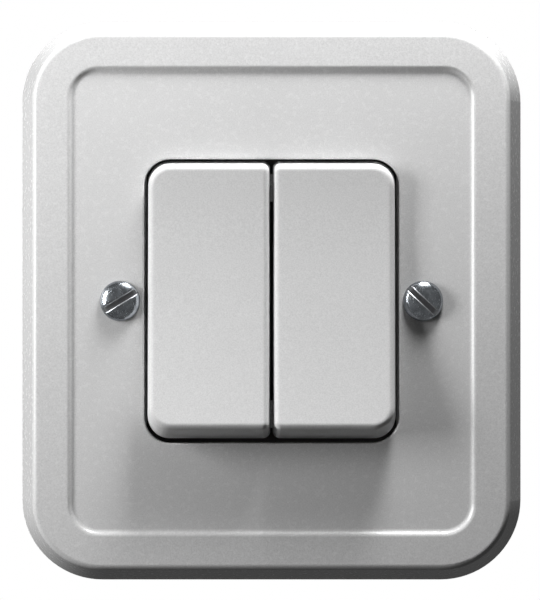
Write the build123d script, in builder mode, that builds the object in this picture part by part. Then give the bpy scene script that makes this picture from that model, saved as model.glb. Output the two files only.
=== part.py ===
from build123d import *
import os
from math import cos, radians, sin, tan

# Two-gang rocker light switch for a flush wall box, with its cover plate, snap mechanism and terminals.
# The wall is the plane y = 0, the room lies towards -Y, +Z is up and +X is to the right seen from the room.
# The origin is midway between the two fixing screws. Sizes are in millimetres and angles in degrees.
# A height is a distance in front of the wall, so what lies inside the wall box has a negative height.

# Cover plate
plate_width = 99.7
plate_height = 111.5
plate_depth = 10.0
plate_corner_radius = 16.0
plate_wall = 2.4
side_draft = 15.0
rim_edge_radius = 1.2
panel_width = 80.5
panel_height = 92.6
panel_corner_radius = 6.1
panel_step = 0.65
panel_slope = 50.0
panel_edge_radius = 1.0
collar_wall = 1.6
collar_depth = 2.0
boss_wall = 2.0
boss_rib = 1.6

# Fixing screws, and the window between them
screw_pitch = 60.0
screw_land = 4.75
window_width = screw_pitch - 2 * screw_land
window_height = 56.3
window_corner_radius = 5.2
window_edge_radius = 0.4
thread_radius = 2.0
waist_radius = 1.6
thread_length = 14.0
screw_clearance = 0.25
head_radius = 4.0
head_side = 0.5
head_height = 2.5
slot_width = 1.1
slot_depth = 1.2
slot_angles = {"left": 31.0, "right": -43.0}

# Rockers
side_gap = 0.65
middle_gap = 0.5
end_gap = 0.55
rocker_stand = 2.75
rocker_skirt = 5.9
rocker_wall = 1.8
rocker_outer_corner = 4.4
rocker_inner_corner = 1.4
rocker_edge_radius = 1.2
rocker_end_draft = 11.0
rocker_side_draft = 2.5
dish_radius = 185.0
rocker_throw = 8.4
pivot_height = 2.0
trunnion_radius = 1.75
bearing_clearance = 0.06
ear_thickness = 1.8
ear_radius = 3.2
ear_root = 9.0
ear_clearance = 0.3
web_thickness = 2.4
web_lift = 4.4
stem_radius = 3.5
stem_reach = 6.5

# Spring plunger in each rocker
plunger_radius = 2.1
plunger_clearance = 0.1
plunger_body = 6.6
spigot_radius = 1.2
spigot_length = 1.6
spring_length = 7.2
spring_wire = 0.5
spring_turns = 5
spring_clearance = 0.12

# Support bracket of pressed sheet
bracket_thickness = 1.2
bracket_width = 74.0
bracket_margin = 4.2
bracket_corner_radius = 9.0
bracket_slot_length = 9.0
flange_height = 3.0
flange_length = 44.0
bend_radius = 0.9

# Moulded base behind the bracket
base_height = 40.0
base_depth = 20.0
base_corner_radius = 6.0
base_edge_radius = 0.8
base_wall = 2.2
pocket_width = 14.2
pocket_height = 29.0
pocket_depth = 15.0
pocket_corner_radius = 1.5
post_length = 9.0
barrier_wall = 1.6
barrier_height = 5.4
barrier_offset = 9.6
lug_radius = 4.4
lug_depth = 7.0

# Bearing frame in front of the bracket, and the screws that clamp frame, bracket and base together
frame_gap = 0.35
frame_corner_radius = 3.0
frame_opening = 24.0
frame_clearance = 0.15
stop_clearance = 0.3
cap_wall = 1.0
frame_screw_inset = 5.6
frame_screw_radius = 1.5
frame_screw_length = 9.5
frame_head_radius = 2.8
thread_clearance = 0.05

# Contact bridge that tips with each rocker, and its silver contacts
contact_depth = 10.0
contact_ratio = 2.0
bridge_length = 21.0
bridge_width = 6.0
bridge_thickness = 2.0
contact_arm = 8.5
contact_radius = 1.8
contact_thickness = 0.9
contact_gap = 0.1
tip_gap = 0.1
rivet_radius = 0.9

# Brass strip terminals with clamp screws
strip_thickness = 1.2
strip_width = 6.4
strip_clearance = 0.15
leg_offset = 12.6
pad_overhang = 2.4
tab_margin = 0.6
common_tab = 7.4
washer_size = 6.8
washer_thickness = 0.8
washer_chamfer = 1.0
clamp_radius = 1.75
clamp_length = 4.2
clamp_head_radius = 3.0
clamp_head_height = 2.2
clamp_head_round = 0.4
clamp_slot_width = 0.9
clamp_slot_depth = 1.1
clamp_slot_turn = 37.0
clamp_hole_clearance = 0.4

# Heights and places that follow from the sizes above
panel_front = plate_depth - panel_step
panel_back = panel_front - plate_wall
hollow_width = plate_width - 2 * plate_wall
hollow_height = plate_height - 2 * plate_wall
collar_width = window_width + 2 * collar_wall
collar_height = window_height + 2 * collar_wall
rib_reach = (plate_width - plate_wall) / 2
rib_foot = (panel_back + bracket_thickness) / 2
rocker_width = (window_width - 2 * side_gap - middle_gap) / 2
rocker_length = window_height - 2 * end_gap
gang_offset = (rocker_width + middle_gap) / 2
half_throw = rocker_throw / 2
contact_tilt = half_throw * contact_ratio
face_rise = panel_front + rocker_stand - pivot_height
rim_rise = face_rise - rocker_skirt
block_top = face_rise + rocker_length**2 / (8 * dish_radius) + rocker_edge_radius
roof = face_rise - rocker_wall / 2
pocket_half = pocket_width / 2
post_centre = pocket_half + base_wall / 2
ear_face = pocket_half - ear_clearance
trunnion_end = pocket_half + base_wall - ear_clearance
bearing_radius = trunnion_radius + bearing_clearance
base_width = 2 * (gang_offset + pocket_half + base_wall)
rim_low = pivot_height + rim_rise * cos(radians(half_throw)) - rocker_length / 2 * sin(radians(half_throw))
frame_top = rim_low - stop_clearance
cap_top = pivot_height + bearing_radius + cap_wall
frame_width = window_width - 2 * frame_gap
frame_height = window_height
frame_screw_offset = frame_height / 2 - frame_screw_inset
bracket_height = frame_height + 2 * bracket_margin
pivot_span = pivot_height + contact_depth
tip_reach = pivot_span - bridge_thickness - tip_gap
plunger_top = plunger_body - tip_reach
bore_end = plunger_top + spring_length
boss_radius = thread_radius + screw_clearance + boss_wall
tab_end = base_height / 2 - tab_margin
strip_bend = strip_thickness / 2 + strip_clearance
tab_middle = base_depth + strip_thickness / 2
gangs = {"left": -1, "right": 1}
screw_places = [(side * screw_pitch / 2, 0) for side in gangs.values()]
gang_places = [(side * gang_offset, 0) for side in gangs.values()]
post_places = [(x + hand * post_centre, 0) for x, _ in gang_places for hand in (-1, 1)]
frame_screw_places = [(0, frame_screw_offset), (0, -frame_screw_offset)]

# Upright place of each terminal's clamp screw
clamp_rows = {
    "upper": (leg_offset + tab_end) / 2,
    "common": (common_tab + strip_thickness / 2) / 2,
    "lower": -(leg_offset + tab_end) / 2,
}
clamp_places = [(x, row) for x, _ in gang_places for row in clamp_rows.values()]

os.makedirs("parts", exist_ok=True)


def save(builder, name):
    """Label a finished piece and write it to its own file."""
    builder.part.label = name
    export_step(builder.part, f"parts/{name}.step")


def level_plane(x, z):
    """Level cut through a point of the wall: sideways from that point, then height in front of the wall."""
    return Plane(origin=(x, 0, z), x_dir=(1, 0, 0), z_dir=(0, 0, -1))


# Cover plate: one thin moulding with sloping sides, a raised rim, a sunken panel and the rocker window
with BuildPart() as cover_plate:
    with BuildSketch(Plane.XZ):
        RectangleRounded(plate_width, plate_height, plate_corner_radius)
    extrude(amount=plate_depth, taper=side_draft)
    fillet(cover_plate.faces().sort_by(Axis.Y)[0].edges(), radius=rim_edge_radius)
    with BuildSketch(Plane.XZ.offset(plate_depth)):
        RectangleRounded(panel_width, panel_height, panel_corner_radius)
    extrude(amount=-panel_step, taper=panel_slope, mode=Mode.SUBTRACT)
    panel_face = cover_plate.faces().filter_by(Plane.XZ).sort_by(Axis.Y)[1]
    rim_face = cover_plate.faces().filter_by(Plane.XZ).sort_by(Axis.Y)[0]
    fillet(panel_face.edges() + rim_face.inner_wires()[0].edges(), radius=panel_edge_radius)
    with BuildSketch(Plane.XZ):
        RectangleRounded(hollow_width, hollow_height, plate_corner_radius - plate_wall)
    extrude(amount=panel_back, taper=side_draft, mode=Mode.SUBTRACT)
    with BuildSketch(Plane.XZ.offset(panel_back)):
        RectangleRounded(collar_width, collar_height, window_corner_radius + collar_wall)
    extrude(amount=-collar_depth)
    with BuildSketch(Plane.XZ.offset(panel_back)):
        with Locations(*screw_places):
            Circle(boss_radius)
    extrude(amount=bracket_thickness - panel_back)
    with BuildSketch(level_plane(0, 0)):
        with BuildLine():
            Polyline(
                (screw_pitch / 2, panel_back),
                (rib_reach - panel_back * tan(radians(side_draft)), panel_back),
                (rib_reach - rib_foot * tan(radians(side_draft)), rib_foot),
                (screw_pitch / 2, rib_foot),
                close=True,
            )
        make_face()
        mirror(about=Plane.YZ)
    extrude(amount=boss_rib / 2, both=True)
    with BuildSketch(Plane.XZ.offset(panel_front)):
        RectangleRounded(window_width, window_height, window_corner_radius)
    extrude(amount=-panel_front, mode=Mode.SUBTRACT)
    panel_face = cover_plate.faces().filter_by(Plane.XZ).sort_by(Axis.Y)[1]
    fillet(panel_face.inner_wires()[0].edges(), radius=window_edge_radius)
    with BuildSketch(Plane.XZ.offset(panel_front)):
        with Locations(*screw_places):
            Circle(thread_radius + screw_clearance)
    extrude(amount=-panel_front, mode=Mode.SUBTRACT)
save(cover_plate, "cover_plate")

# Fixing screws: slotted round heads on waisted shanks, with the thread left free behind the bracket
with BuildPart() as fixing_screws:
    for (x, _), turn in zip(screw_places, slot_angles.values()):
        with BuildSketch(level_plane(x, 0)):
            with BuildLine():
                shank = Polyline(
                    (0, -thread_length),
                    (waist_radius, -thread_length),
                    (thread_radius, thread_radius - waist_radius - thread_length),
                    (thread_radius, 0),
                    (waist_radius, 0),
                    (waist_radius, panel_front),
                    (head_radius, panel_front),
                    (head_radius, panel_front + head_side),
                )
                crown_height = head_height - head_side
                crown = EllipticalCenterArc((0, panel_front + head_side), head_radius, crown_height)
                Line(crown @ 1, shank @ 0)
            make_face()
        revolve(axis=Axis((x, 0, 0), (0, -1, 0)))
        with BuildSketch(Plane.XZ.offset(panel_front + head_height)):
            with Locations((x, 0)):
                Rectangle(3 * head_radius, slot_width, rotation=turn)
        extrude(amount=-slot_depth, mode=Mode.SUBTRACT)
save(fixing_screws, "fixing_screws")

# Support bracket: pressed sheet with a window for the bearings, two screw slots and two turned-up flanges
with BuildPart() as support_bracket:
    with BuildSketch(Plane.XZ):
        RectangleRounded(bracket_width, bracket_height, bracket_corner_radius)
        Rectangle(base_width + 2 * frame_clearance, pocket_height, mode=Mode.SUBTRACT)
        with Locations(*screw_places):
            SlotOverall(
                bracket_slot_length, 2 * (thread_radius + screw_clearance), rotation=90, mode=Mode.SUBTRACT
            )
        with Locations(*frame_screw_places):
            Circle(frame_screw_radius + screw_clearance, mode=Mode.SUBTRACT)
    extrude(amount=bracket_thickness)
    with BuildSketch(Plane.XZ.offset(bracket_thickness)):
        for edge in (-1, 1):
            with Locations((0, edge * (bracket_height - bracket_thickness) / 2)):
                Rectangle(flange_length, bracket_thickness)
    extrude(amount=flange_height)
    outer_edges = support_bracket.edges().filter_by(Axis.X).group_by(Axis.Y)[-1].sort_by(Axis.Z)
    fillet([outer_edges[0], outer_edges[-1]], radius=bend_radius)
save(support_bracket, "support_bracket")

# Moulded base: two contact chambers, bearing posts, screw lugs, and terminal bays parted by barriers
with BuildPart() as mechanism_base:
    with BuildSketch(Plane.XZ):
        RectangleRounded(base_width, base_height, base_corner_radius)
    extrude(amount=-base_depth)
    fillet(mechanism_base.faces().sort_by(Axis.Y)[-1].edges(), radius=base_edge_radius)
    with BuildSketch(Plane.XZ):
        SlotCenterToCenter(2 * frame_screw_offset, 2 * lug_radius, rotation=90)
    extrude(amount=-lug_depth)
    with BuildSketch(Plane.XZ.offset(base_edge_radius - base_depth)):
        Rectangle(barrier_wall, base_height)
        with Locations((0, barrier_offset), (0, -barrier_offset)):
            Rectangle(base_width, barrier_wall)
    extrude(amount=-barrier_height - base_edge_radius)
    with BuildSketch(Plane.XZ):
        with Locations(*post_places):
            Rectangle(base_wall, post_length)
    extrude(amount=pivot_height)
    with BuildSketch(Plane.XZ):
        with Locations(*gang_places):
            RectangleRounded(pocket_width, pocket_height, pocket_corner_radius)
        core_width = 2 * (gang_offset - pocket_half - base_wall)
        RectangleRounded(core_width, pocket_height, pocket_corner_radius)
    extrude(amount=-pocket_depth, mode=Mode.SUBTRACT)
    with BuildSketch(Plane.YZ):
        with Locations((-pivot_height, 0)):
            Circle(bearing_radius)
    extrude(amount=base_width, both=True, mode=Mode.SUBTRACT)
    with BuildSketch(Plane.XZ.offset(-base_depth)):
        for x, _ in gang_places:
            with Locations((x, leg_offset), (x, 0), (x, -leg_offset)):
                Rectangle(strip_width + 2 * strip_clearance, strip_thickness + 2 * strip_clearance)
    extrude(amount=base_depth - pocket_depth, mode=Mode.SUBTRACT)
    with BuildSketch(Plane.XZ.offset(-base_depth)):
        with Locations(*clamp_places):
            Circle(clamp_radius + clamp_hole_clearance)
    extrude(amount=clamp_length - washer_thickness, mode=Mode.SUBTRACT)
    with BuildSketch(Plane.XZ):
        with Locations(*frame_screw_places):
            Circle(frame_screw_radius + thread_clearance)
    extrude(amount=-lug_depth, mode=Mode.SUBTRACT)
save(mechanism_base, "mechanism_base")

# Bearing frame: keeps the rockers' trunnions down on the base's posts and stops the rockers' rims
with BuildPart() as bearing_frame:
    with BuildSketch(Plane.XZ.offset(bracket_thickness)):
        RectangleRounded(frame_width, frame_height, frame_corner_radius)
        with Locations(*gang_places):
            Rectangle(pocket_width, frame_opening, mode=Mode.SUBTRACT)
    extrude(amount=frame_top - bracket_thickness)
    with BuildSketch(Plane.XZ.offset(bracket_thickness)):
        with Locations(*post_places):
            Rectangle(base_wall, post_length)
    extrude(amount=cap_top - bracket_thickness)
    with BuildSketch(Plane.XZ.offset(bracket_thickness)):
        with Locations(*post_places):
            Rectangle(base_wall + 2 * frame_clearance, post_length + 2 * frame_clearance)
    extrude(amount=pivot_height - bracket_thickness, mode=Mode.SUBTRACT)
    for x, _ in gang_places:
        with BuildSketch(Plane.YZ.offset(x)):
            with Locations((-pivot_height, 0)):
                Circle(bearing_radius)
        extrude(amount=pocket_half + base_wall, both=True, mode=Mode.SUBTRACT)
    with Locations(Plane.XZ.offset(frame_top)):
        with Locations(*frame_screw_places):
            CounterSinkHole(frame_screw_radius + screw_clearance, frame_head_radius)
save(bearing_frame, "bearing_frame")

# Frame screws: two countersunk screws through frame and bracket into the base's lugs
with BuildPart() as frame_screws:
    head_drop = frame_head_radius - frame_screw_radius
    for x, z in frame_screw_places:
        with BuildSketch(level_plane(x, z)):
            with BuildLine():
                Polyline(
                    (0, frame_top),
                    (frame_head_radius - thread_clearance, frame_top),
                    (frame_screw_radius, frame_top - head_drop + thread_clearance),
                    (frame_screw_radius, frame_top - frame_screw_length),
                    (0, frame_top - frame_screw_length),
                    close=True,
                )
            make_face()
        revolve(axis=Axis((x, 0, z), (0, -1, 0)))
    with BuildSketch(Plane.XZ.offset(frame_top)):
        with Locations(*frame_screw_places):
            Rectangle(2 * frame_head_radius, clamp_slot_width)
    extrude(amount=-clamp_slot_depth, mode=Mode.SUBTRACT)
save(frame_screws, "frame_screws")

# Clamp screws of the six terminals, each over its own square washer at the back of the base
with BuildPart() as terminal_screws:
    clamp_seat = -base_depth - strip_thickness - washer_thickness
    with BuildSketch(Plane.XZ.offset(clamp_seat)):
        with Locations(*clamp_places):
            Circle(clamp_head_radius)
    extrude(amount=-clamp_head_height)
    fillet(terminal_screws.edges().group_by(Axis.Y)[-1], radius=clamp_head_round)
    with BuildSketch(Plane.XZ.offset(clamp_seat)):
        with Locations(*clamp_places):
            Circle(clamp_radius)
    extrude(amount=clamp_length)
    with BuildSketch(Plane.XZ.offset(clamp_seat - clamp_head_height)):
        for index, place in enumerate(clamp_places):
            with Locations(place):
                Rectangle(2 * clamp_head_radius, clamp_slot_width, rotation=index * clamp_slot_turn)
    extrude(amount=clamp_slot_depth, mode=Mode.SUBTRACT)
save(terminal_screws, "terminal_screws")

with BuildPart() as clamp_washers:
    with BuildSketch(Plane.XZ.offset(-base_depth - strip_thickness)) as washer_outline:
        with Locations(*clamp_places):
            Rectangle(washer_size, washer_size)
        chamfer(washer_outline.vertices(), length=washer_chamfer)
        with Locations(*clamp_places):
            Circle(clamp_radius + thread_clearance, mode=Mode.SUBTRACT)
    extrude(amount=-washer_thickness)
save(clamp_washers, "clamp_washers")


def dished_block(length_plane, width_plane, inset):
    """The rocker's drafted block with its dished face, or the hollow inside it when drawn in by the wall."""
    with BuildPart() as block:
        for plane, size, draft, mode in (
            (length_plane, rocker_length, rocker_end_draft, Mode.ADD),
            (width_plane, rocker_width, rocker_side_draft, Mode.INTERSECT),
        ):
            half = size / 2 - inset / cos(radians(draft))
            top = half - (block_top - rim_rise) * tan(radians(draft))
            with BuildSketch(plane):
                with BuildLine():
                    Polyline(
                        (-half, rim_rise), (half, rim_rise), (top, block_top), (-top, block_top), close=True
                    )
                make_face()
            extrude(amount=rocker_length, both=True, mode=mode)
        with BuildSketch(length_plane):
            with Locations((0, face_rise + dish_radius)):
                Circle(dish_radius + inset)
        extrude(amount=rocker_width, both=True, mode=Mode.SUBTRACT)
    return block.part


# Each gang has a rocker with its spring plunger, a tipping contact bridge and three strip terminals
for gang, side in gangs.items():
    gang_x = side * gang_offset
    room = Plane(origin=(gang_x, 0, 0), x_dir=(1, 0, 0), z_dir=(0, -1, 0))
    rocker_plane = room.offset(pivot_height).rotated((-half_throw, 0, 0))
    bridge_plane = room.offset(-contact_depth).rotated((contact_tilt, 0, 0))
    bridge_side = Plane(origin=bridge_plane.origin, x_dir=bridge_plane.y_dir, z_dir=bridge_plane.x_dir)
    length_plane = Plane(origin=rocker_plane.origin, x_dir=rocker_plane.y_dir, z_dir=rocker_plane.x_dir)
    width_plane = Plane(origin=rocker_plane.origin, x_dir=rocker_plane.x_dir, z_dir=-rocker_plane.y_dir)
    section_plane = Plane(origin=(gang_x, 0, 0), x_dir=(0, 0, 1), z_dir=(1, 0, 0))
    rocker_axis = Axis(rocker_plane.origin, rocker_plane.z_dir)

    # Hollow inside the rocker, cut out of it below
    block = dished_block(length_plane, width_plane, rocker_wall)
    with BuildPart() as hollow:
        add(block)
        uprights = hollow.edges().filter_by(lambda edge: abs((edge % 0.5).dot(rocker_plane.z_dir)) > 0.9)
        fillet(uprights.group_by(Axis.X)[::-side][0], radius=rocker_outer_corner - rocker_wall)

    # Rocker: a thin dished cap with drafted walls, two ears with trunnions, and a stem for the plunger
    block = dished_block(length_plane, width_plane, 0)
    with BuildPart() as rocker:
        add(block)
        for place, radius in ((0, rocker_outer_corner), (-1, rocker_inner_corner)):
            uprights = rocker.edges().filter_by(lambda edge: abs((edge % 0.5).dot(rocker_plane.z_dir)) > 0.9)
            fillet(uprights.group_by(Axis.X)[::-side][place], radius=radius)
        fillet(rocker.faces().sort_by(rocker_axis)[-1].edges(), radius=rocker_edge_radius)
        add(hollow.part, mode=Mode.SUBTRACT)
        for hand in (-1, 1):
            ear_plane = length_plane.offset(hand * ear_face)
            with BuildSketch(ear_plane):
                Circle(ear_radius)
                with BuildLine():
                    Polyline(
                        (-ear_radius, 0),
                        (ear_radius, 0),
                        (ear_root / 2, roof),
                        (-ear_root / 2, roof),
                        close=True,
                    )
                make_face()
            extrude(amount=-hand * ear_thickness)
            with BuildSketch(ear_plane):
                Circle(trunnion_radius)
            extrude(amount=hand * (trunnion_end - ear_face))
        with BuildSketch(rocker_plane.offset(web_lift)):
            Rectangle(2 * ear_face, web_thickness)
        extrude(amount=roof - web_lift)
        with BuildSketch(rocker_plane.offset(-stem_reach)):
            Circle(stem_radius)
        extrude(amount=roof + stem_reach)
        with BuildSketch(rocker_plane.offset(-stem_reach)):
            Circle(plunger_radius + plunger_clearance)
        extrude(amount=bore_end + stem_reach, mode=Mode.SUBTRACT)
    save(rocker, f"rocker_{gang}")

    # Plunger: a round-nosed pin in the rocker's stem, with a spigot that centres the spring
    with BuildPart() as plunger:
        with BuildSketch(width_plane):
            with BuildLine():
                nose_end = (plunger_radius, plunger_radius - tip_reach)
                nose = RadiusArc((0, -tip_reach), nose_end, -plunger_radius)
                Polyline(
                    nose @ 1,
                    (plunger_radius, plunger_top),
                    (spigot_radius, plunger_top),
                    (spigot_radius, plunger_top + spigot_length),
                    (0, plunger_top + spigot_length),
                    nose @ 0,
                )
            make_face()
        revolve(axis=rocker_axis)
    save(plunger, f"plunger_{gang}")

    # Spring: a short coil between the plunger's shoulder and the end of the bore
    coil_radius = plunger_radius + plunger_clearance - spring_clearance - spring_wire / 2
    coil_height = spring_length - spring_wire - 2 * spring_clearance
    coil_foot = rocker_plane.offset(plunger_top + spring_wire / 2 + spring_clearance)
    with BuildPart() as spring:
        with BuildLine():
            coil = Helix(
                pitch=coil_height / spring_turns,
                height=coil_height,
                radius=coil_radius,
                center=coil_foot.origin,
                direction=coil_foot.z_dir,
            )
        with BuildSketch(Plane(origin=coil @ 0, z_dir=coil % 0)):
            Circle(spring_wire / 2)
        sweep()
    save(spring, f"spring_{gang}")

    # Contact bridge: a brass seesaw with a round groove that rides on the common terminal's blade
    with BuildPart() as contact_bridge:
        with BuildSketch(bridge_plane):
            RectangleRounded(bridge_width, bridge_length, contact_radius)
            with Locations((0, contact_arm), (0, -contact_arm)):
                Circle(rivet_radius, mode=Mode.SUBTRACT)
        extrude(amount=bridge_thickness)
        with BuildSketch(bridge_side):
            Circle(strip_thickness / 2 + bearing_clearance)
        extrude(amount=bridge_width, both=True, mode=Mode.SUBTRACT)
    save(contact_bridge, f"contact_bridge_{gang}")

    # Moving contacts: silver rivets at both ends of the bridge
    with BuildPart() as moving_contacts:
        with BuildSketch(bridge_plane):
            with Locations((0, contact_arm), (0, -contact_arm)):
                Circle(contact_radius)
        extrude(amount=-contact_thickness)
        with BuildSketch(bridge_plane):
            with Locations((0, contact_arm), (0, -contact_arm)):
                Circle(rivet_radius)
        extrude(amount=bridge_thickness)
    save(moving_contacts, f"moving_contacts_{gang}")

    # Outer terminals: bent brass strip from a sloping contact pad, through the base's floor, to a rear tab
    pad_normal = (sin(radians(contact_tilt)), cos(radians(contact_tilt)))
    stack = 2 * contact_thickness + contact_gap
    pad_seat = (
        contact_arm * pad_normal[1] - stack * pad_normal[0],
        -contact_depth - contact_arm * pad_normal[0] - stack * pad_normal[1],
    )
    pad_middle = (
        pad_seat[0] - strip_thickness / 2 * pad_normal[0],
        pad_seat[1] - strip_thickness / 2 * pad_normal[1],
    )
    pad_slope = -tan(radians(contact_tilt))
    pad_inner = pad_middle[0] - pad_overhang
    for row, up in (("upper", 1), ("lower", -1)):
        with BuildPart() as terminal:
            with BuildSketch(section_plane):
                with BuildLine():
                    FilletPolyline(
                        (up * pad_inner, pad_middle[1] - pad_overhang * pad_slope),
                        (up * leg_offset, pad_middle[1] + (leg_offset - pad_middle[0]) * pad_slope),
                        (up * leg_offset, -tab_middle),
                        (up * tab_end, -tab_middle),
                        radius=strip_bend,
                    )
                trace(line_width=strip_thickness)
            extrude(amount=strip_width / 2, both=True)
            with BuildSketch(room.offset(-tab_middle)):
                with Locations((0, clamp_rows[row])):
                    Circle(clamp_radius + thread_clearance)
            extrude(amount=strip_thickness, both=True, mode=Mode.SUBTRACT)
        save(terminal, f"{row}_terminal_{gang}")

    # Fixed contacts: silver buttons on the outer terminals' pads
    with BuildPart() as fixed_contacts:
        for up in (1, -1):
            with BuildSketch(
                Plane(
                    origin=(gang_x, -pad_seat[1], up * pad_seat[0]),
                    x_dir=(1, 0, 0),
                    z_dir=(0, -pad_normal[1], up * pad_normal[0]),
                )
            ):
                Circle(contact_radius)
            extrude(amount=contact_thickness)
    save(fixed_contacts, f"fixed_contacts_{gang}")

    # Common terminal: an upright blade with a round edge under the bridge, bent into a tab at the back
    with BuildPart() as common_terminal:
        with BuildSketch(section_plane):
            with BuildLine():
                FilletPolyline(
                    (0, -contact_depth), (0, -tab_middle), (common_tab, -tab_middle), radius=strip_bend
                )
            trace(line_width=strip_thickness)
            with Locations((0, -contact_depth)):
                Circle(strip_thickness / 2)
        extrude(amount=strip_width / 2, both=True)
        with BuildSketch(room.offset(-tab_middle)):
            with Locations((0, clamp_rows["common"])):
                Circle(clamp_radius + thread_clearance)
        extrude(amount=strip_thickness, both=True, mode=Mode.SUBTRACT)
    save(common_terminal, f"common_terminal_{gang}")
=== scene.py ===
import math

import bmesh
import bpy
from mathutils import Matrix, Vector


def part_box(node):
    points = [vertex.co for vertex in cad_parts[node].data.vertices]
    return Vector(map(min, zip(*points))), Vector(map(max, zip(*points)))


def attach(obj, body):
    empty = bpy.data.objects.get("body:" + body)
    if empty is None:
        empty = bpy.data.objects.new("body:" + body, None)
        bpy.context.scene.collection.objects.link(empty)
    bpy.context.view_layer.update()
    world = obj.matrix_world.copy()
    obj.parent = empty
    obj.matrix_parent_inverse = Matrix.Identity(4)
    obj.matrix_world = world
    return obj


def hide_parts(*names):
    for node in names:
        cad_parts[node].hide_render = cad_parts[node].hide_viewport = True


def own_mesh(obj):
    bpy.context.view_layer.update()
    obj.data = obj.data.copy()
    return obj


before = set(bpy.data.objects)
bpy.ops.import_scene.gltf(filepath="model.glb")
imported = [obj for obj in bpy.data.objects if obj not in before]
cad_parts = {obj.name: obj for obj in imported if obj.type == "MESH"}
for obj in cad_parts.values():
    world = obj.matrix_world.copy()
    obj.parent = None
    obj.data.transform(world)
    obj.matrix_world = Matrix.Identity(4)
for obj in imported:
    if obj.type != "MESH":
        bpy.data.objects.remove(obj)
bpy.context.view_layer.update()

# Moulded base and bearing frame: the dark body of the switch, which holds the contacts behind the wall.
# Both are compression moulded from filled resin, so they are nearly black, dull and finely speckled.
resin_black = (0.018, 0.017, 0.016)
filler_grey = (0.11, 0.10, 0.09)
speck_size = 0.00025
flow_size = 0.006
skin_size = 0.0004
skin_depth = 0.00002


class Wire:
    """A value in a node tree: arithmetic on it adds Math nodes, and node() adds a node of any other kind."""

    def __init__(self, tree, socket=None):
        self.tree = tree
        self.socket = socket

    def node(self, kind, inputs=None, output=0, **settings):
        made = self.tree.nodes.new(kind)
        for name, value in settings.items():
            setattr(made, name, value)
        for key, value in (inputs or {}).items():
            for wire in value if isinstance(value, list) else [value]:
                if isinstance(wire, Wire):
                    self.tree.links.new(wire.socket, made.inputs[key])
                else:
                    made.inputs[key].default_value = wire
        return Wire(self.tree, made.outputs[output])

    def to(self, socket):
        self.tree.links.new(self.socket, socket)

    def math(self, operation, *others):
        return self.node("ShaderNodeMath", dict(enumerate((self, *others))), operation=operation)

    def __add__(self, other):
        return self.math("ADD", other)

    def __sub__(self, other):
        return self.math("SUBTRACT", other)

    def __rsub__(self, other):
        return self * -1 + other

    def __mul__(self, other):
        return self.math("MULTIPLY", other)

    def __truediv__(self, other):
        return self.math("DIVIDE", other)

    __radd__ = __add__
    __rmul__ = __mul__


def new_finish(name):
    """A new material, the sockets of its shader, and the coordinates that its patterns are drawn on."""
    finish = bpy.data.materials.new(name)
    finish.use_nodes = True
    place = Wire(finish.node_tree).node("ShaderNodeTexCoord", output="Object")
    return finish, finish.node_tree.nodes["Principled BSDF"].inputs, place


def noise(place, size, detail=2.0, stretch=(1, 1, 1)):
    """Noise from 0 to 1 with blots of about this size in metres, drawn out along the axes by the stretch."""
    scale = tuple(1 / (size * axis) for axis in stretch)
    spread = place.node("ShaderNodeMapping", {"Vector": place, "Scale": scale})
    return place.node("ShaderNodeTexNoise", {"Vector": spread, "Scale": 1.0, "Detail": detail})


def between(wire, low, high):
    """How far a value lies between two others, from 0 to 1."""
    return wire.node("ShaderNodeMapRange", {"Value": wire, "From Min": low, "From Max": high})


def blend(share, first, second):
    """A colour that goes from the first to the second as the share goes from 0 to 1."""
    ends = [colour if isinstance(colour, Wire) else (*colour, 1) for colour in (first, second)]
    return share.node("ShaderNodeMix", {0: share, 6: ends[0], 7: ends[1]}, output=2, data_type="RGBA")


def relief(height, depth):
    """The normal of a surface with a fine relief of this depth in metres."""
    return height.node("ShaderNodeBump", {"Height": height, "Distance": depth, "Strength": 1.0})


def dress(finish, *nodes):
    """Give solids of the frame their finish."""
    for node in nodes:
        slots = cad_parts[node].data.materials
        slots.clear()
        slots.append(finish)


def moulded_resin():
    """Filled resin: near black, with pale specks of filler and dull flow marks."""
    finish, shader, place = new_finish("moulded_resin")
    speck = between(noise(place, speck_size, detail=3.0), low=0.58, high=0.72)
    flow = noise(place, flow_size, stretch=(1, 3, 1))
    blend(speck * 0.35 + flow * 0.2, resin_black, filler_grey).to(shader["Base Color"])
    (0.38 + flow * 0.16 + speck * 0.1).to(shader["Roughness"])
    relief(noise(place, skin_size) + flow * 2, skin_depth).to(shader["Normal"])
    return finish


dress(moulded_resin(), "mechanism_base", "bearing_frame")

# Strip terminals and contact bridges: brass stamped from rolled strip, three terminals and a seesaw a gang.
# The terminals' legs are pushed through the base's floor, and each seesaw rides on its common terminal.
brass_yellow = (0.78, 0.60, 0.28)
brass_brown = (0.50, 0.34, 0.13)
bloom_size = 0.003
roll_line_size = 0.0002
roll_line_depth = 0.000008


def rolled_brass():
    """Brass strip: fine lines of the rolls and a brown bloom of age."""
    finish, shader, place = new_finish("rolled_brass")
    lines = noise(place, roll_line_size, stretch=(1, 14, 14))
    bloom = noise(place, bloom_size, detail=4.0)
    blend(between(bloom, low=0.35, high=0.75), brass_yellow, brass_brown).to(shader["Base Color"])
    (0.20 + lines * 0.16 + bloom * 0.18).to(shader["Roughness"])
    relief(lines, roll_line_depth).to(shader["Normal"])
    shader["Metallic"].default_value = 1.0
    return finish


brass = rolled_brass()
for gang in ("left", "right"):
    for row in ("upper", "common", "lower"):
        dress(brass, f"{row}_terminal_{gang}")
    dress(brass, f"contact_bridge_{gang}")

# Silver contacts: riveted buttons on the bridges and the outer terminals, headed from silver alloy wire.
# They are greyed in spots where the arc burns them.
silver_white = (0.86, 0.85, 0.82)
burnt_grey = (0.35, 0.34, 0.33)
burn_size = 0.0008


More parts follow.
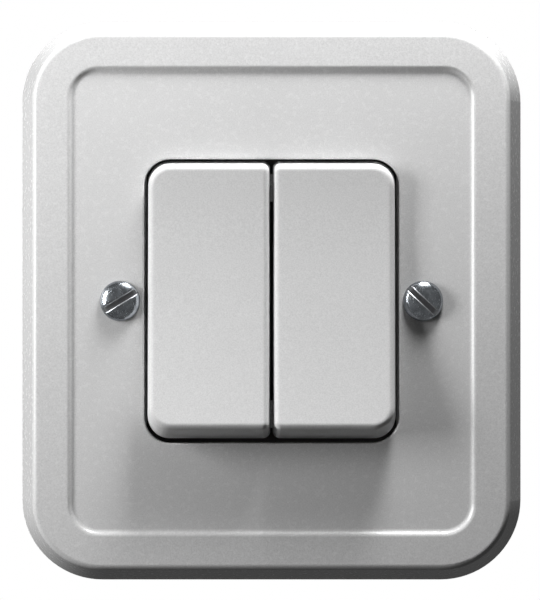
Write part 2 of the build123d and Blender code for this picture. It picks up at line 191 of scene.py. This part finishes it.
def contact_silver():
    """Silver alloy: soft shine with grey burnt spots."""
    finish, shader, place = new_finish("contact_silver")
    burn = noise(place, burn_size, detail=4.0)
    blend(between(burn, low=0.5, high=0.8), silver_white, burnt_grey).to(shader["Base Color"])
    (0.22 + burn * 0.3).to(shader["Roughness"])
    shader["Metallic"].default_value = 1.0
    return finish


silver = contact_silver()
for gang in ("left", "right"):
    dress(silver, f"fixed_contacts_{gang}", f"moving_contacts_{gang}")

# Clamp screws, washers and frame screws: zinc plated steel, six clamps at the back and two screws in front.
# The heads are turned with a slot sawn across them, and the washers are stamped from strip.
steel_dark = (0.50, 0.51, 0.52)
steel_light = (0.68, 0.68, 0.67)
cloud_size = 0.0015
steel_scratch_size = 0.00012
steel_scratch_depth = 0.000003


def plated_steel():
    """Bright zinc plating over steel: a clouded grey shine with fine scratches."""
    finish, shader, place = new_finish("plated_steel")
    cloud = noise(place, cloud_size, detail=3.0)
    scratch = between(noise(place, steel_scratch_size, stretch=(1, 1, 18)), low=0.62, high=0.70)
    blend(cloud * 0.7 + scratch * 0.4, steel_dark, steel_light).to(shader["Base Color"])
    (0.16 + cloud * 0.16 + scratch * 0.15).to(shader["Roughness"])
    relief(scratch + cloud, steel_scratch_depth).to(shader["Normal"])
    shader["Metallic"].default_value = 1.0
    return finish


dress(plated_steel(), "terminal_screws", "clamp_washers", "frame_screws")

# Support bracket: a plate of zinc coated sheet, pressed and pierced, with two edges turned up for stiffness.
# It lies against the wall, carries base and frame between their two screws, and hangs on the fixing screws.
sheet_dark = (0.52, 0.53, 0.54)
sheet_light = (0.70, 0.71, 0.71)
crystal_size = 0.004
mill_line_size = 0.0003
mill_line_depth = 0.000008


def zinc_sheet():
    """Coated sheet: faint crystals in the zinc and drawn-out rolling marks."""
    finish, shader, place = new_finish("zinc_sheet")
    crystal = place.node("ShaderNodeTexVoronoi", {"Vector": place, "Scale": 1 / crystal_size}, output="Color")
    flake = crystal.node("ShaderNodeSeparateColor", {"Color": crystal}, output="Red")
    rolled = noise(place, mill_line_size, stretch=(30, 1, 1))
    blend(flake * 0.5 + rolled * 0.5, sheet_dark, sheet_light).to(shader["Base Color"])
    (0.28 + flake * 0.12 + rolled * 0.14).to(shader["Roughness"])
    relief(rolled, mill_line_depth).to(shader["Normal"])
    shader["Metallic"].default_value = 1.0
    return finish


dress(zinc_sheet(), "support_bracket")

# Plungers and springs: a natural acetal pin in each rocker's stem, pushed down by a coil of drawn wire.
# The pin's round nose slides over the brass seesaw and tips it, and the coil shortens as the pin goes in.
acetal_dark = (0.76, 0.75, 0.70)
acetal_light = (0.86, 0.85, 0.81)
acetal_wear_size = 0.001
wire_dark = (0.28, 0.28, 0.29)
wire_light = (0.58, 0.58, 0.57)
wire_streak_size = 0.0004
coil_crease = math.radians(50)
weld_distance = 0.000001


def natural_acetal():
    """Acetal: milky white, waxy and slightly worn."""
    finish, shader, place = new_finish("natural_acetal")
    wear = noise(place, acetal_wear_size)
    blend(wear, acetal_dark, acetal_light).to(shader["Base Color"])
    (0.30 + wear * 0.2).to(shader["Roughness"])
    return finish


def drawn_wire():
    """Spring wire: dark drawn steel with streaks of lubricant."""
    finish, shader, place = new_finish("drawn_wire")
    streak = noise(place, wire_streak_size, detail=3.0)
    blend(streak, wire_dark, wire_light).to(shader["Base Color"])
    (0.22 + streak * 0.2).to(shader["Roughness"])
    shader["Metallic"].default_value = 1.0
    return finish


def placed(name, shape):
    """An object in the scene with this shape."""
    mesh = bpy.data.meshes.new(name)
    shape.to_mesh(mesh)
    shape.free()
    thing = bpy.data.objects.new(name, mesh)
    bpy.context.scene.collection.objects.link(thing)
    return thing


dress(natural_acetal(), "plunger_left", "plunger_right")
spring_wire = drawn_wire()
for gang in ("left", "right"):
    coil = bmesh.new()
    coil.from_mesh(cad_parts[f"spring_{gang}"].data)
    bmesh.ops.remove_doubles(coil, verts=coil.verts, dist=weld_distance)
    coil_spring = placed(f"coil_spring_{gang}", coil)
    coil_spring.data.shade_smooth()
    coil_spring.data.set_sharp_from_angle(angle=coil_crease)
    coil_spring.data.materials.clear()
    coil_spring.data.materials.append(spring_wire)
    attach(coil_spring, f"rocker_{gang}")
    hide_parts(f"spring_{gang}")
    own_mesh(coil_spring)

# Rockers and cover plate: pale urea mouldings with a satin skin, which are all that is seen from the room.
# The rockers snap in under the bearing frame, and the plate goes over them and is held by the fixing screws.
shade_size = 0.015
blot_size = 0.0009
grain_size = 0.00026
grain_depth = 0.000004


def white_plastic(name, roughness, dark, light):
    """Pale satin moulding: a soft mottle, a fine grain and a faint mould texture."""
    finish, shader, place = new_finish(name)
    shade = noise(place, shade_size)
    blot = noise(place, blot_size)
    grain = noise(place, grain_size, detail=1.0)
    mottle = grain * 0.70 + blot * 0.17 + shade * 0.13
    blend(mottle, (dark, dark, dark), (light, light, light)).to(shader["Base Color"])
    (roughness + blot * 0.12).to(shader["Roughness"])
    relief(grain + blot, grain_depth).to(shader["Normal"])
    return finish


dress(white_plastic("rocker_plastic", roughness=0.50, dark=0.59, light=0.95), "rocker_left", "rocker_right")
dress(white_plastic("plate_plastic", roughness=0.20, dark=0.57, light=0.97), "cover_plate")

# Fixing screws: two round-head machine screws of bright zinc plated steel, one each side of the window.
# The heads are turned and slotted, the threads are rolled, and each slot stands as the screwdriver left it.
screw_low, screw_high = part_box("fixing_screws")
head_radius = (screw_high.z - screw_low.z) / 2
screw_spacing = screw_high.x - screw_low.x - 2 * head_radius
panel_front = 0.00935
under_radius = 0.0037
rim_height = 0.00015
crown_seat = panel_front + rim_height
crown_height = 0.0019
crown_lines = 14
line_steps = 40
slot_width = 0.0010
slot_depth = 0.0012
slot_taper = 0.00001
slot_wall = slot_width / 2 - slot_taper
slot_floor = crown_seat + crown_height - slot_depth
eased_edge = 0.0003
eased_lines = 5
slot_edge = slot_width / 2 + eased_edge
slot_turns = {"Left Turn": math.radians(31), "Right Turn": math.radians(-43)}
waist_radius = 0.0016
thread_length = screw_high.y
thread_radius = 0.0020
thread_depth = 0.00042
thread_pitch = 0.0007
thread_sides = 48
thread_rings = 200
screw_crease = math.radians(38)
zinc_dark = (0.37, 0.40, 0.43)
zinc_light = (0.68, 0.73, 0.78)
bared_steel = (0.78, 0.80, 0.82)
# Painted shade for the screw heads' rims.
rim_painted_shade = (0.15, 0.15, 0.16)
slot_grime = (0.30, 0.30, 0.31)
stain_size = 0.0011
zinc_scratch_size = 0.00016
zinc_scratch_depth = 0.000005
worn_depths = (0.00001, 0.00005)
grime_depths = (0.00030, 0.00060)


def screw_shape():
    """One screw without its thread: lines along the slot rise from the waist, cross the crown and go down."""
    shape = bmesh.new()
    outer = [slot_edge + (head_radius - slot_edge) * math.sin(math.radians(90 * step / crown_lines))
             for step in range(crown_lines, 0, -1)]
    eased = [math.radians(90 * step / eased_lines) for step in range(eased_lines, -1, -1)]
    half = [(offset, 0) for offset in outer]
    half += [(slot_edge - eased_edge * math.cos(turn), eased_edge * (1 - math.sin(turn))) for turn in eased]
    half += [(slot_wall, slot_depth)]
    skirt = ((waist_radius, 0), (waist_radius, panel_front), (under_radius, panel_front))
    rows = []
    for offset, dip in half + [(-offset, dip) for offset, dip in reversed(half)]:
        reach = math.sqrt(max(head_radius ** 2 - offset ** 2, 0))
        rise = [(-reach * radius / head_radius, -lift, offset * radius / head_radius)
                for radius, lift in skirt]
        over = []
        for step in range(line_steps + 1):
            along = -reach * math.cos(math.pi * step / line_steps)
            share = (along ** 2 + offset ** 2) / head_radius ** 2
            crown = crown_seat + crown_height * math.sqrt(max(1 - share, 0))
            over.append((along, -max(crown - dip, min(crown, slot_floor)), offset))
        fall = [(-x, y, z) for x, y, z in reversed(rise)]
        rows.append([shape.verts.new(spot) for spot in rise + over + fall])
    for near, far in zip(rows, rows[1:]):
        for step in range(len(near) - 1):
            shape.faces.new((near[step], near[step + 1], far[step + 1], far[step]))
    bmesh.ops.remove_doubles(shape, verts=shape.verts, dist=weld_distance)
    bmesh.ops.holes_fill(shape, edges=[edge for edge in shape.edges if edge.is_boundary])
    bmesh.ops.recalc_face_normals(shape, faces=shape.faces)
    return shape


def screw_pair_tree(sizes):
    """Rolls the thread on to one screw, then stands the screw in its two places with the slots turned."""
    tree = bpy.data.node_groups.new("screw_pair", "GeometryNodeTree")
    tree.interface.new_socket("Geometry", in_out="INPUT", socket_type="NodeSocketGeometry")
    for name in sizes:
        tree.interface.new_socket(name, in_out="INPUT", socket_type="NodeSocketFloat")
    tree.interface.new_socket("Material", in_out="INPUT", socket_type="NodeSocketMaterial")
    tree.interface.new_socket("Geometry", in_out="OUTPUT", socket_type="NodeSocketGeometry")
    given = {socket.name: Wire(tree, socket) for socket in tree.nodes.new("NodeGroupInput").outputs}
    start = Wire(tree)

    # A flat grid is rolled up into the threaded shank, and its first and last rings are drawn to a point.
    counts = {"Vertices X": thread_sides + 1, "Vertices Y": thread_rings + 1}
    grid = start.node("GeometryNodeMeshGrid", {"Size X": 1.0, "Size Y": 1.0, **counts})
    spot = start.node("GeometryNodeInputPosition")
    around = start.node("ShaderNodeSeparateXYZ", {"Vector": spot}, output="X") + 0.5
    along = start.node("ShaderNodeSeparateXYZ", {"Vector": spot}, output="Y") + 0.5
    reach = along * given["Thread Length"]
    groove = ((reach / given["Thread Pitch"] - around).math("FRACT") * 2 - 1).math("ABSOLUTE")
    ridge = given["Thread Radius"] - groove * given["Thread Depth"]
    point = given["Tip Radius"] + given["Thread Length"] - reach
    short_of_ends = 0.5 - 0.2 / thread_rings
    open_rings = (along - 0.5).math("ABSOLUTE").math("LESS_THAN", short_of_ends)
    radius = ridge.math("MINIMUM", point) * open_rings
    turn = around * math.tau
    wrapped = {"X": radius * turn.math("SINE"), "Y": reach, "Z": radius * turn.math("COSINE")}
    wrap = start.node("ShaderNodeCombineXYZ", wrapped)
    tube = start.node("GeometryNodeSetPosition", {"Geometry": grid, "Position": wrap})
    thread = start.node("GeometryNodeMergeByDistance", {"Geometry": tube, "Distance": weld_distance})
    screw = start.node("GeometryNodeJoinGeometry", {"Geometry": [given["Geometry"], thread]})

    first = start.node("ShaderNodeCombineXYZ", {"X": given["Spacing"] * -0.5})
    step = start.node("ShaderNodeCombineXYZ", {"X": given["Spacing"]})
    places = start.node("GeometryNodeMeshLine", {"Count": 2, "Start Location": first, "Offset": step})
    index = start.node("GeometryNodeInputIndex")
    slot_turn = given["Left Turn"] + index * (given["Right Turn"] - given["Left Turn"])
    lean = start.node("ShaderNodeCombineXYZ", {"Y": slot_turn * -1})
    pair = start.node("GeometryNodeInstanceOnPoints", {"Points": places, "Instance": screw, "Rotation": lean})
    real = start.node("GeometryNodeRealizeInstances", {"Geometry": pair})
    plated = start.node("GeometryNodeSetMaterial", {"Geometry": real, "Material": given["Material"]})
    plated.to(tree.nodes.new("NodeGroupOutput").inputs[0])
    return tree


def bright_zinc():
    """Bright plated steel: stained, scratched, worn at the slot's edges, dirty in the slot, and darkened
    towards the rim with painted shade.
    """
    finish, shader, place = new_finish("bright_zinc")
    across = place.node("ShaderNodeSeparateXYZ", {"Vector": place}, output="X")
    offset = across.math("ABSOLUTE") - screw_spacing / 2
    front = place.node("ShaderNodeSeparateXYZ", {"Vector": place}, output="Y") * -1
    height = place.node("ShaderNodeSeparateXYZ", {"Vector": place}, output="Z")
    reach = (offset * offset + height * height) / head_radius ** 2
    crown = (1 - reach).math("MAXIMUM", 0).math("SQRT") * crown_height + crown_seat
    on_head = front.math("GREATER_THAN", panel_front)
    grime = between(crown - front, *grime_depths) * on_head
    worn = between(crown - front, *worn_depths) * (1 - grime) * on_head * between(reach, low=0.95, high=0.75)
    stain = noise(place, stain_size, detail=4.0)
    scratch = between(noise(place, zinc_scratch_size, stretch=(1, 1, 9)), low=0.60, high=0.72)
    # Painted shade: the head darkens from halfway out to its rim, standing in for the shade where it meets
    # the plate.
    rim_shade_share = between(reach, low=0.5, high=1.0) * 0.6
    plating = blend(between(stain, low=0.3, high=0.7), zinc_dark, zinc_light)
    bared = blend(worn, plating, bared_steel)
    rim_shaded = blend(rim_shade_share, bared, rim_painted_shade)
    blend(grime, rim_shaded, slot_grime).to(shader["Base Color"])
    (0.13 + stain * 0.14 + scratch * 0.12 + worn * 0.22 + grime * 0.3).to(shader["Roughness"])
    relief(scratch + stain, zinc_scratch_depth).to(shader["Normal"])
    shader["Metallic"].default_value = 1.0
    return finish


screw = placed("one_screw", screw_shape())
pair_sizes = {
    "Thread Radius": thread_radius,
    "Thread Depth": thread_depth,
    "Thread Pitch": thread_pitch,
    "Thread Length": thread_length,
    "Tip Radius": waist_radius,
    "Spacing": screw_spacing,
    **slot_turns,
}
pair_inputs = {**pair_sizes, "Material": bright_zinc()}
pair = screw.modifiers.new("screw_pair", "NODES")
pair.node_group = screw_pair_tree(pair_sizes)
for item in pair.node_group.interface.items_tree:
    if item.in_out == "INPUT" and item.name in pair_inputs:
        pair[item.identifier] = pair_inputs[item.name]
graph = bpy.context.evaluated_depsgraph_get()
screws_mesh = bpy.data.meshes.new_from_object(screw.evaluated_get(graph))
screws_mesh.shade_smooth()
screws_mesh.set_sharp_from_angle(angle=screw_crease)
bpy.data.objects.remove(screw)
slotted_screws = bpy.data.objects.new("slotted_screws", screws_mesh)
bpy.context.scene.collection.objects.link(slotted_screws)
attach(slotted_screws, "housing")
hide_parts("fixing_screws")

# Floor: a wide pale sheet well below the switch, which hangs free as it would on its wall box.
# It shines by itself and only for the camera, so that it lends the switch no light from below.
floor_drop = 1.5
floor_half = 12.0
pale = 0.78
floor_mesh = bpy.data.meshes.new("floor")
corners = [(x * floor_half, y * floor_half, -floor_drop) for x, y in ((-1, -1), (1, -1), (1, 1), (-1, 1))]
floor_mesh.from_pydata(corners, [], [(0, 1, 2, 3)])
floor = bpy.data.objects.new("floor", floor_mesh)
bpy.context.scene.collection.objects.link(floor)
floor.visible_diffuse = False
floor.visible_glossy = False
floor.visible_shadow = False
pale_floor, floor_shader, _ = new_finish("pale_floor")
floor_shader["Base Color"].default_value = (0, 0, 0, 1)
floor_shader["Emission Color"].default_value = (pale, pale, pale, 1)
floor_shader["Emission Strength"].default_value = 1.0
floor_mesh.materials.append(pale_floor)

# Light: a small soft lamp close above, which grazes the plate, and one at the left. Two stand behind, off
# the middle, so that flat metal doesn't glare. The surroundings are dim, so that metal looks dark, but the
# camera sees them as pale as the floor, and white behind the switch.
dim_room = 0.030
room_in_metal = 0.095
backdrop_edge = (math.cos(math.radians(25)), math.cos(math.radians(8)))


def add_lamp(name, place, size, power):
    """Soft lamp of this width and height in metres and power in watts, turned to the switch."""
    lamp = bpy.data.lights.new(name, "AREA")
    lamp.shape = "RECTANGLE"
    lamp.size, lamp.size_y = size
    lamp.energy = power
    stand = bpy.data.objects.new(name, lamp)
    bpy.context.scene.collection.objects.link(stand)
    stand.location = place
    stand.rotation_euler = (-Vector(place)).to_track_quat("-Z", "Y").to_euler()
    stand.visible_camera = False


add_lamp("top_lamp", place=(0.056, -0.064, 0.225), size=(0.08, 0.06), power=0.82)
add_lamp("left_lamp", place=(-0.235, -0.104, 0.045), size=(0.06, 0.16), power=0.62)
add_lamp("rear_lamp", place=(-0.05, 0.45, 0.45), size=(0.20, 0.20), power=2.4)
add_lamp("rear_fill", place=(0.10, 0.58, -0.10), size=(0.12, 0.12), power=0.2)

world = bpy.data.worlds.new("studio")
world.use_nodes = True
bpy.context.scene.world = world
surround = world.node_tree.nodes["Background"].inputs
seen = Wire(world.node_tree).node("ShaderNodeLightPath", output="Is Camera Ray")
shine = Wire(world.node_tree).node("ShaderNodeLightPath", output="Is Glossy Ray")
heading = Wire(world.node_tree).node("ShaderNodeTexCoord", output="Generated")
backdrop = between(heading.node("ShaderNodeSeparateXYZ", {"Vector": heading}, output="Y"), *backdrop_edge)
ground = pale + backdrop * (1 - pale)
(dim_room + seen * (ground - dim_room) + shine * room_in_metal).to(surround["Strength"])
surround["Color"].default_value = (1, 1, 1, 1)
bpy.context.scene.view_settings.view_transform = "Standard"

# Camera: straight in front of the plate, at the distance and height that the photograph was taken from.
# Its lens is as long as it takes to show the sunken panel at the photograph's scale.
camera_distance = 0.9
camera_aside = -0.0003
camera_lift = 0.0002
film_width = 36
pixels_per_metre = 5047
image_height = 600
lens = bpy.data.cameras.new("camera")
lens.sensor_width = film_width
lens.lens = film_width * camera_distance * pixels_per_metre / image_height
camera = bpy.data.objects.new("camera", lens)
bpy.context.scene.collection.objects.link(camera)
camera.location = (camera_aside, -panel_front - camera_distance, camera_lift)
camera.rotation_euler = (math.radians(90), 0, 0)
bpy.context.scene.camera = camera
